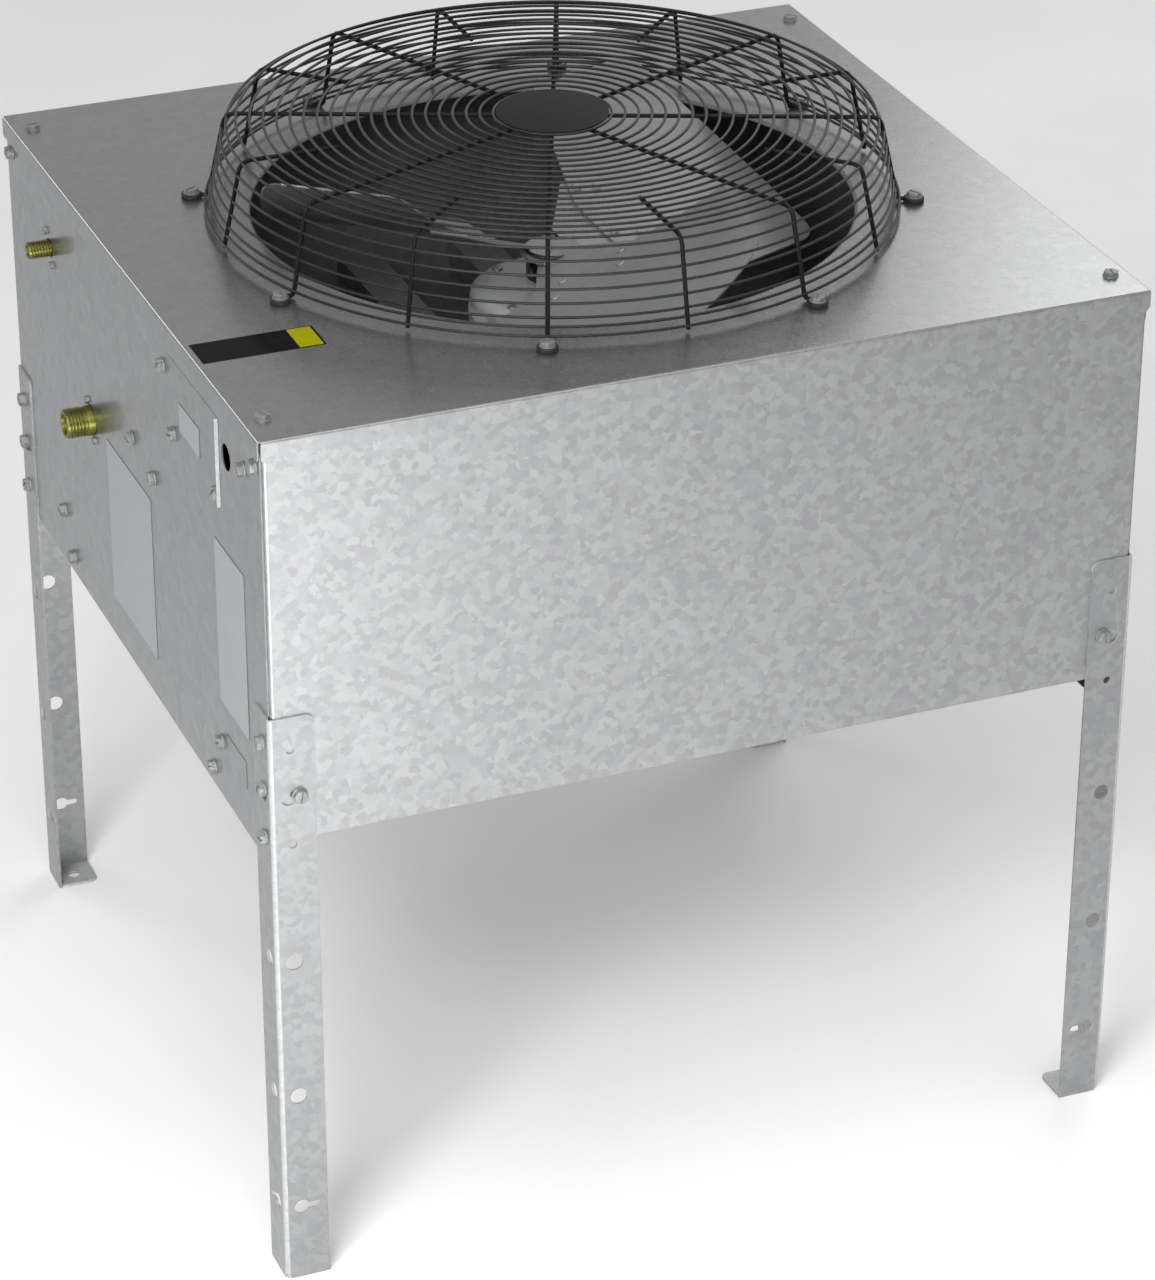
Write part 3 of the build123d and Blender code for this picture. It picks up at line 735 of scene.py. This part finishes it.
def wire_hoop(radius, rise):
    """One ring of round wire: a small circle spun about the fan's axis."""
    high = cover_top + rise
    hoop = begin_wire((radius, 0.0, high), ring_wire / 2, wire_sides, False)
    edit()
    bend((0, 0, high), tau, (0, 0, 1), ring_sides if radius > inner_ring_radius else inner_ring_sides)
    close_up()
    return hoop


def bent_spoke(start, with_eye):
    """One guard spoke: straight over the face, bent down the side and out to its screw eye."""
    fall = atan2(spoke_rise - eye_rise, spoke_foot - spoke_corner)
    high = cover_top + spoke_rise
    low = cover_top + eye_rise
    spoke = begin_wire((start, 0.0, high), spoke_wire / 2, wire_sides, True)
    edit()
    trim = shoulder_bend * tan(fall / 2)
    push(x=spoke_corner - trim - start)
    bend((spoke_corner - trim, 0.0, high - shoulder_bend), fall, (0, 1, 0), 7)
    foot_trim = foot_bend * tan(fall / 2) if with_eye else 0.0
    length = hypot(spoke_foot - spoke_corner, high - low) - trim - foot_trim
    push(x=length * cos(fall), z=-length * sin(fall))
    if with_eye:
        bend((spoke_foot + foot_trim, 0.0, low + foot_bend), -fall, (0, 1, 0), 6)
        push(x=guard_screw_radius - eye_wire_radius - spoke_foot - foot_trim)
    close_up()
    if not with_eye:
        return spoke
    eye = begin_wire((guard_screw_radius - eye_wire_radius, 0.0, low), spoke_wire / 2, wire_sides, False)
    edit()
    bend((guard_screw_radius, 0, low), tau, (0, 0, 1), 20)
    close_up()
    return joined([spoke, eye])


def build_guard():
    """The wire guard: rings over sixteen spokes, eight of them with screw eyes, and its disc."""
    rings = [(first_ring_radius + index * top_ring_pitch, top_ring_rise) for index in range(top_ring_count)]
    rings += [(radius * mm, rise * mm) for radius, rise in side_rings]
    hoops = joined([wire_hoop(radius, rise) for radius, rise in rings])
    settle(hoops, "guard_rings", paint_rings, hides=("guard_top", "guard_side"), angle=60.0)
    long_places = [about_axis(long_spoke_angle + index * spoke_pitch) for index in range(spoke_count)]
    short_places = [about_axis(index * spoke_pitch) for index in range(spoke_count)]
    spokes = [copies_of(bent_spoke(spoke_start, True), long_places)]
    spokes.append(copies_of(bent_spoke(short_spoke_start, False), short_places))
    # the spokes take the darker paint: painted shade under the rings
    settle(joined(spokes), "guard_spokes", paint_spokes_shaded, angle=60.0)
    disc = begin_boss(0.0, cover_top + top_ring_rise, disc_radius, disc_gauge, 96)
    round_off(disc, lambda at, edge: at_cap(edge), disc_edge, 3)
    settle(disc, "guard_centre_disc", paint_disc)


def build_washers():
    """Rubber washers under the guard's eyes: a rounded ring, copied round the cover."""
    washer = begin_boss(guard_screw_radius, cover_top, washer_radius, washer_high, 40)
    round_off(washer, lambda at, edge: at_cap(edge), washer_edge, 3)
    edit()
    pick("FACE", lambda at, face: len(face.verts) > 4)
    bpy.ops.mesh.inset(thickness=washer_radius - washer_edge - washer_hole)
    bpy.ops.mesh.delete(type="FACE")
    pick("EDGE", lambda at, edge: len(edge.link_faces) < 2)
    bpy.ops.mesh.bridge_edge_loops()
    face_outwards()
    leave_edit()
    places = [about_axis(long_spoke_angle + index * spoke_pitch) for index in range(spoke_count)]
    washers = copies_of(washer, places)
    settle(washers, "rubber_washers", rubber_black, hides=("guard_washers",))


# ---------------------------------------------------------------- top cover


def fold_lip(cover, flat, axis, side):
    """Folds one edge of the cover's plate down into a lip with clipped corners."""
    take(cover)
    edit()
    edge_at = side * flat[axis]
    pick("EDGE", lambda at, edge: abs(at[axis] - edge_at) < hair and abs(at.z - cover_top) < hair)
    centre = [0.0, 0.0, cover_top - cover_fold]
    centre[axis] = edge_at
    bend(centre, side * pi / 2, (0, 1, 0) if axis == 0 else (-1, 0, 0), fold_steps)
    push(z=cover_fold - cover_lip + lip_corner_chamfer)
    push(z=-lip_corner_chamfer)
    span = (half_depth, half_width)[axis]
    share = (span - lip_corner_gap - lip_corner_chamfer) / flat[1 - axis]
    stretch(*((1, share, 1) if axis == 0 else (share, 1, 1)))
    leave_edit()


def roll_throat():
    """In edit mode, rolls the rim of the throat downwards in short steps."""
    radius = throat_rim
    drop = 0.0
    for step in range(1, roll_steps + 1):
        angle = step * pi / 2 / roll_steps
        new_radius = throat_rim - throat_roll * sin(angle)
        new_drop = throat_roll * (1 - cos(angle))
        push(z=drop - new_drop)
        stretch(new_radius / radius, new_radius / radius, 1)
        radius, drop = new_radius, new_drop


def build_cover():
    """The top cover: a plate with folded lips, open corners and a throat rolled downwards."""
    flat = (half_width - cover_fold, half_depth - cover_fold)
    plate = bpy.ops.mesh.primitive_plane_add
    cover = begin(plate, (flat[0], flat[1], 1.0), size=2.0, location=(0, 0, cover_top))
    for axis, side in ((0, -1), (0, 1), (1, -1), (1, 1)):
        fold_lip(cover, flat, axis, side)
    edit()
    pick("FACE", lambda at, face: face.normal.z > 0.999 and face.calc_area() > 0.1)
    bpy.ops.mesh.delete(type="ONLY_FACE")
    circle = bpy.ops.mesh.primitive_circle_add
    throat = begin(circle, vertices=throat_sides, radius=throat_rim, location=(0, 0, cover_top))
    cover = joined([cover, throat])
    edit()
    on_top = cover_top - hair

    def on_opening(at, edge):
        return len(edge.link_faces) < 2 and all(v.co.z > on_top for v in edge.verts)

    def on_rim(at, edge):
        beside = abs(hypot(at.x, at.y) - throat_rim) < 0.1 * mm
        return beside and all(abs(hypot(v.co.x, v.co.y) - throat_rim) < hair for v in edge.verts)

    pick("EDGE", on_opening)
    bpy.ops.mesh.fill(use_beauty=True)
    pick("EDGE", on_rim)
    roll_throat()
    bpy.ops.mesh.select_all(action="SELECT")
    bpy.ops.mesh.remove_doubles(threshold=hair)
    bpy.ops.mesh.normals_make_consistent(inside=False)
    leave_edit()
    upward = max(cover.data.polygons, key=lambda face: face.area).normal.z
    inwards = -1.0 if upward > 0 else 1.0
    modify(cover, "SOLIDIFY", thickness=cover_gauge, offset=inwards, use_even_offset=True)
    edit()
    face_outwards()
    leave_edit()
    settle(cover, "folded_cover", zinc_cover, hides=("top_cover",), angle=40.0, flats=True)
    lip_x = half_width - 1.0 * mm
    lip_y = half_depth - 1.0 * mm
    rolled = throat_rim - 0.5 * mm
    # the cover's lips take the finishes of the panels beside them, with painted shade on the end sides
    paint_part(cover, zinc_panel, lambda at, face: abs(at.y) > lip_y and abs(face.normal.y) > 0.5)
    paint_part(cover, zinc_end_shaded, lambda at, face: abs(at.x) > lip_x and abs(face.normal.x) > 0.5)
    # painted shade on the rolled rim of the throat
    paint_part(cover, zinc_inner_shaded, lambda at, face: hypot(at.x, at.y) < rolled)


# ---------------------------------------------------------------- fasteners


def screw_model():
    """A slotted hexagon head on a flange, standing on the XY plane."""
    flange = begin_boss(0.0, 0.0, screw_flange, flange_high, 28)
    round_off(flange, lambda at, edge: at.z > flange_high * 0.9 and at_cap(edge), flange_edge, 2)
    head = begin_boss(0.0, 0.0, screw_across / 2 / cos(pi / 6), screw_height, 6)
    round_off(head, lambda at, edge: at.z > screw_height * 0.95, screw_chamfer, 3)
    upright = screw_height * 0.4
    round_off(head, lambda at, edge: abs(at.z - upright) < screw_height * 0.3, screw_corner, 1)
    cut(head, flange, "UNION")
    half_slot = (screw_across * 0.65, screw_slot / 2)
    low = (-half_slot[0], -half_slot[1], screw_height - slot_depth)
    high = (half_slot[0], half_slot[1], screw_height + slot_depth)
    cut(head, begin_block(low, high))
    head.name = "hex_screw"
    return head


def rivet_model():
    """A domed rivet head standing on the XY plane."""
    rivet = begin_boss(0.0, 0.0, rivet_radius, rivet_high, 24)
    return round_off(rivet, lambda at, edge: at.z > rivet_high * 0.9 and at_cap(edge), rivet_dome, 5)


def stand(at, normal, turn=0.0, scale=1.0, height=1.0):
    """The matrix that stands a fastener on a face, turned about its own axis."""
    up = Vector(normal).normalized().to_track_quat("Z", "Y").to_matrix().to_4x4()
    size = Matrix.Diagonal((scale, scale, scale * height, 1.0))
    return Matrix.Translation(at) @ up @ about_axis(turn) @ size


def build_screws():
    """Every screw head on the cabinet, each with its slot left at its own angle."""
    places = []
    for x in (-1, 1):
        for y in (-1, 1):
            at = (x * cover_screw_x, y * cover_screw_y, cover_top)
            places.append(stand(at, (0, 0, 1), 40 + 70 * x + 31 * y, 1.0, low_head))
            at = (x * flange_screw_x, y * leg_face_y, flange_screw_z)
            places.append(stand(at, (0, y, 0), 88 + 9 * x))
            for index, rise in enumerate(leg_screw_rises):
                at = (x * leg_face_x, y * leg_screw_y, rise * mm)
                places.append(stand(at, (x, 0, 0), 25 + 55 * index + 20 * y))
            for across, rise in end_screws:
                at = (left_face if x < 0 else right_face, y * across * mm, rise * mm)
                places.append(stand(at, (x, 0, 0), y * across * 0.7))
    for index in range(spoke_count):
        angle = radians(long_spoke_angle + index * spoke_pitch)
        at = (guard_screw_radius * cos(angle), guard_screw_radius * sin(angle), cover_top + washer_high)
        places.append(stand(at, (0, 0, 1), 10 + 67 * index, 1.0, low_head))
    for y, z in access_screws:
        places.append(stand((left_face, y * mm, z * mm), (-1, 0, 0), y * 1.3))
    for middle_y, middle_z, dy, dz in coupling_screws:
        for side in (-1, 1):
            at = (left_face, (middle_y + side * dy) * mm, (middle_z + side * dz) * mm)
            places.append(stand(at, (-1, 0, 0), 30 * side, small_screw_scale))
    settle(copies_of(screw_model(), places), "slotted_screws", zinc_screw, angle=30.0)


# ---------------------------------------------------------------- couplings


def thread_ridge(root, radius, pitch, turns):
    """One ridge with a flat crest, wound round the X axis."""
    ridge = begin(bpy.ops.mesh.primitive_plane_add, size=1.0, location=(0, 0, 0))
    edit()
    stretch(pitch * ridge_foot, radius - root + thread_sunk, 1)
    pick("VERT", lambda at, item: at.y > 0)
    stretch(ridge_crest, 1, 1)
    bpy.ops.mesh.select_all(action="SELECT")
    bpy.ops.transform.translate(value=(0, (radius + root - thread_sunk) / 2, 0))
    leave_edit()
    rounds = {"iterations": turns, "steps": winding_steps, "render_steps": winding_steps}
    modify(ridge, "SCREW", axis="X", screw_offset=pitch, **rounds)
    edit()
    close_up()
    return ridge


def threaded_coupling(node, name, y, z, radius, bore, reach, pitch, plain):
    """A bored brass end with a cut thread: a turned core and one ridge wound round it."""
    root = radius - thread_depth
    end = left_face - reach
    at_end = end + doubles
    core = begin_bar(end, left_face + 2.0 * mm, y, z, root, 64)
    edit()
    pick("FACE", lambda at, item: at.x < at_end)
    bpy.ops.mesh.inset(thickness=root - bore)
    push(x=reach * 0.7)

    def on_lip(at, item):
        flush = all(v.co.x < at_end for v in item.verts)
        return flush and any(abs(face.normal.x) < 0.5 for face in item.link_faces)

    round_off(core, on_lip, 0.5 * mm, 2)
    edit()
    face_outwards()
    leave_edit()
    ridge = thread_ridge(root, radius, pitch, int((reach - plain) / pitch - 0.45))
    start = end + 0.8 * mm - min(v.co.x for v in ridge.data.vertices)
    ridge.data.transform(Matrix.Translation((start, y, z)))
    pieces = [core, ridge]
    if plain:
        collar = begin_bar(left_face - plain, left_face + 1.0 * mm, y, z, radius, 64)
        front = left_face - plain + 0.1 * mm
        pieces.append(round_off(collar, lambda at, item: at.x < front and at_cap(item), 0.6 * mm, 2))
    tail_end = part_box(node)[1].x
    flange = (left_face + 1.2 * mm, left_face + 3.2 * mm, radius * 1.9)
    tail = (left_face + 0.8 * mm, tail_end, radius * 0.95)
    for x0, x1, width in (flange, tail):
        step = begin_bar(x0, x1, y, z, width, 48)
        pieces.append(round_off(step, lambda at, item: at_cap(item), 0.4 * mm, 2))
    settle(joined(pieces), name, brass, hides=(node,))


def copper_line(node, name, y, z, radius):
    """A tube from a coupling's socket, bent down to the coil."""
    low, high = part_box(node)
    line = begin_wire((low.x, y, z), radius, 20, True)
    edit()
    corner = high.x - radius - line_bend
    push(x=corner - low.x)
    bend((corner, y, z - line_bend), pi / 2, (0, 1, 0), 10)
    push(z=low.z - z + line_bend)
    close_up()
    settle(line, name, copper, hides=(node,), angle=50.0)


def build_couplings():
    """Both brass ends through the left panel and the copper lines behind them."""
    for node, name, line_node, line_name, *sizes in couplings:
        y, z, radius, bore, reach, pitch, plain, line_radius = [size * mm for size in sizes]
        threaded_coupling(node, name, y, z, radius, bore, reach, pitch, plain)
        copper_line(line_node, line_name, y, z, line_radius)


# ---------------------------------------------------------------- coil


def build_coil():
    """Plain fins on two rows of copper tube, with their return bends."""
    low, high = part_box("fin_pack")
    fin = begin_block((low.x + fin_gauge / 2, low.y, low.z), (low.x + fin_gauge * 1.5, high.y, high.z))
    count = int((high.x - low.x - fin_gauge) / fin_pitch)
    run = {"count": count, "use_relative_offset": False, "use_constant_offset": True}
    modify(fin, "ARRAY", constant_offset_displace=(fin_pitch, 0, 0), **run)
    settle(fin, "coil_fins", aluminium_fins, hides=("fin_pack",))
    middle_z = (low.z + high.z) / 2
    sheet_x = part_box("tube_sheet_right")[0].x + tube_inset
    hairpin = begin_wire((-sheet_x, 0, middle_z + tube_rise / 2), tube_radius, 12, True)
    edit()
    for side in (1, -1):
        push(x=side * 2 * sheet_x)
        bend((side * sheet_x, 0, middle_z), pi, (0, 1, 0), 12)
    close_up()
    middle_row = (tube_rows - 1) / 2
    places = [Matrix.Translation((0, (row - middle_row) * tube_row_pitch, 0)) for row in range(tube_rows)]
    bends = ("return_bends_left", "return_bends_right")
    settle(copies_of(hairpin, places), "coil_tubes", copper, hides=bends, angle=50.0)


# ---------------------------------------------------------------- fan and motor


def blade_surface(y):
    """Height of a blade's upper face and its normal, at a distance across the blade."""
    tangent = radians(blade_pitch)
    touch_z = cover_top - blade_drop + blade_camber_offset * tan(tangent)
    axis_y = blade_camber_offset - blade_camber_radius * sin(tangent)
    axis_z = touch_z + blade_camber_radius * cos(tangent)
    z = axis_z - sqrt(blade_camber_radius**2 - (y - axis_y) ** 2)
    return z, Vector((0, axis_y - y, axis_z - z)).normalized()


def on_barrel(at, face):
    """Whether a face of the spider belongs to its hub's barrel."""
    return hypot(at.x, at.y) < hub_barrel and (at.z < hub_plate or abs(face.normal.z) < 0.5)


def build_fan():
    """Blades and hub as smooth sheets, with rivets and a dark steel barrel."""
    places = []
    for index in range(blade_count):
        number = str(index + 1)
        smooth_node("fan_blade_" + number, "blade_sheet_" + number, aluminium_fan, "fan")
        turn = about_axis(blade_angle + index * 360 / blade_count)
        for x, y in blade_rivets:
            z, normal = blade_surface(y * mm)
            places.append(turn @ stand((x * mm, y * mm, z - rivet_seat), normal))
    spider = smooth_node("fan_spider", "fan_hub", aluminium_fan, "fan")
    paint_part(spider, steel_hub, on_barrel)
    smooth_node("fan_shaft", "shaft_end", steel_shaft, "fan")
    rivets = copies_of(rivet_model(), places)
    settle(rivets, "blade_rivets", aluminium_fan, "fan", angle=50.0)


def build_motor():
    """The motor's enamelled shell with its through bolts."""
    smooth_node("fan_motor", "motor_shell", enamel_motor, angle=40.0)
    places = []
    for index in range(motor_bolt_count):
        angle = radians(motor_bolt_angle + index * 360 / motor_bolt_count)
        at = (motor_bolt_radius * cos(angle), motor_bolt_radius * sin(angle), motor_top - rivet_seat)
        places.append(stand(at, (0, 0, 1), 0.0, motor_bolt_scale))
    settle(copies_of(rivet_model(), places), "motor_bolts", zinc_screw)


# ---------------------------------------------------------------- sheets and labels


def build_panels():
    """Legs with broken edges and paler cut edges, partly painted highlight; the four panels; and painted shade,
    darker and duller, on the inner sheet.
    """
    for side in ("front_left", "front_right", "back_left", "back_right"):
        node = "leg_" + side
        leg = smooth_node(node, "angle_" + node, zinc_leg, angle=40.0, broken=broken_edge)
        # cut edges and hole walls paler: partly painted highlight
        paint_part(leg, zinc_cut_highlight, lambda at, face: face.calc_area() < cut_face)
    # the end panels' darker tone is painted shade
    for side, zinc in (("front", zinc_panel), ("back", zinc_panel), ("left", zinc_end_shaded), ("right", zinc_end_shaded)):
        sheet = smooth_node(side + "_panel", side + "_sheet", zinc, angle=32.0)
        # faces looking into the cabinet take painted shade
        paint_part(sheet, zinc_inner_shaded, looks_inside)
    # the parts inside take the same painted shade
    inner = ("control_box", "tube_sheet_left", "tube_sheet_right", "motor_rail_left", "motor_rail_right")
    for node in inner:
        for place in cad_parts[node].material_slots:
            place.material = zinc_inner_shaded


def build_access_cover():
    """The thin plate over the access opening, with a fin turned out along its front edge."""
    low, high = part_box("access_cover")
    pieces = []
    for x0, y1 in ((high.x - access_gauge, high.y), (low.x, low.y + access_fin_gauge)):
        sheet = begin_block((x0, low.y, low.z), (high.x, y1, high.z))
        pieces.append(round_off(sheet, lambda at, edge: at.x < x0 + hair, access_gauge / 2, 2))
    plate = joined(pieces)
    # the plate takes the end panels' tone, painted shade included
    settle(plate, "access_plate", zinc_end_shaded, hides=("access_cover",), angle=40.0, flats=True)
    # the fin's front face takes the pale cut finish as painted highlight
    paint_part(plate, zinc_cut_highlight, lambda at, face: face.normal.y < -0.5)


def build_labels():
    """Blank labels on the left panel: film with a rounded edge and an inset border line."""
    for name, y0, y1, z0, z1 in labels:
        face_x = left_face - (access_gauge if name == "label_small" else 0.0)
        low = (face_x - label_gauge, y0 * mm, z0 * mm)
        plate = begin_block(low, (face_x, y1 * mm, z1 * mm))
        middle = face_x - label_gauge / 2
        round_off(plate, lambda at, edge: abs(at.x - middle) < label_gauge * 0.2, label_corner, 2)
        edit()
        pick("FACE", lambda at, face: face.normal.x < -0.9)
        bpy.ops.mesh.inset(thickness=label_border, depth=0.0)
        leave_edit()
        # label_low takes the end panels' tone, painted shade included
        film = zinc_end_shaded if name == "label_low" else film_label
        settle(plate, name, film)
        # the label's rim takes painted shadow
        paint_part(plate, film_edge_shadow, lambda at, face: abs(face.normal.x) < 0.5)


def build_films():
    """The plain black film on the cover and the yellow block on it."""
    for name, x0, x1, y0, y1, z0, z1, film in (
        ("film_strip", -375.5, -273.3, -205.8, -168.0, 0.0, 0.15, film_black),
        ("film_block", -295.0, -275.3, -204.6, -169.2, 0.15, 0.25, film_yellow),
    ):
        low = (x0 * mm, y0 * mm, cover_top + z0 * mm)
        strip = begin_block(low, (x1 * mm, y1 * mm, cover_top + z1 * mm))
        middle = cover_top + (z0 + z1) / 2 * mm
        thin = (z1 - z0) * 0.2 * mm
        round_off(strip, lambda at, edge: abs(at.z - middle) < thin, film_corner, 2)
        settle(strip, name, film)


# ---------------------------------------------------------------- studio


def build_world():
    """White behind the object; softer for its reflections, brighter near the horizon than above."""
    world = bpy.data.worlds.new("studio")
    bpy.context.scene.world = world
    world.use_nodes = True
    tree = world.node_tree
    tree.nodes.clear()
    sight = add(tree, "ShaderNodeLightPath").outputs["Is Camera Ray"]
    direction = add(tree, "ShaderNodeTexCoord").outputs["Generated"]
    rise = add(tree, "ShaderNodeSeparateXYZ", {"Vector": direction}).outputs["Z"]
    fade = {"Value": rise, "From Min": 0.3, "From Max": 0.45, "To Min": 0.58, "To Max": 0.42}
    glow = add(tree, "ShaderNodeMapRange", fade).outputs["Result"]
    dim = add(tree, "ShaderNodeBackground", {"Color": (1, 1, 1, 1), "Strength": glow}).outputs[0]
    white = add(tree, "ShaderNodeBackground", {"Color": (1, 1, 1, 1), "Strength": 1.0}).outputs[0]
    both = add(tree, "ShaderNodeMixShader", {0: sight, 1: dim, 2: white}).outputs[0]
    add(tree, "ShaderNodeOutputWorld", {"Surface": both})


def build_studio():
    """A plain pale floor, soft lights and a camera at the photograph's angle."""
    floor = begin(bpy.ops.mesh.primitive_plane_add, size=floor_side, location=(0, 0, -floor_drop))
    floor.name = "pale_floor"
    floor.data.materials.append(floor_paint())
    build_world()
    for name, at, aim, side, watts, spread in lights:
        light = bpy.data.lights.new(name, "AREA")
        light.shape = "SQUARE"
        light.size = side
        light.energy = watts
        light.spread = radians(spread)
        lamp = bpy.data.objects.new(name, light)
        bpy.context.scene.collection.objects.link(lamp)
        lamp.location = at
        lamp.rotation_euler = (Vector(aim) - Vector(at)).to_track_quat("-Z", "Y").to_euler()
        lamp.visible_camera = False
    view = bpy.data.cameras.new("photo_view")
    view.sensor_fit = "VERTICAL"
    view.sensor_height = 36.0
    view.lens = lens
    view.clip_end = 100.0
    camera = bpy.data.objects.new("photo_view", view)
    bpy.context.scene.collection.objects.link(camera)
    tilt = Matrix.Rotation(radians(90 - camera_dip), 4, "X")
    turn = about_axis(camera_heading) @ tilt @ about_axis(camera_roll)
    camera.matrix_world = Matrix.Translation(camera_place) @ turn
    bpy.context.scene.camera = camera
    bpy.context.scene.view_settings.view_transform = "Standard"


# ---------------------------------------------------------------- assembly

build_studio()
build_cover()
build_guard()
build_washers()
build_screws()
build_couplings()
build_coil()
build_fan()
build_motor()
build_access_cover()
build_labels()
build_films()
build_panels()
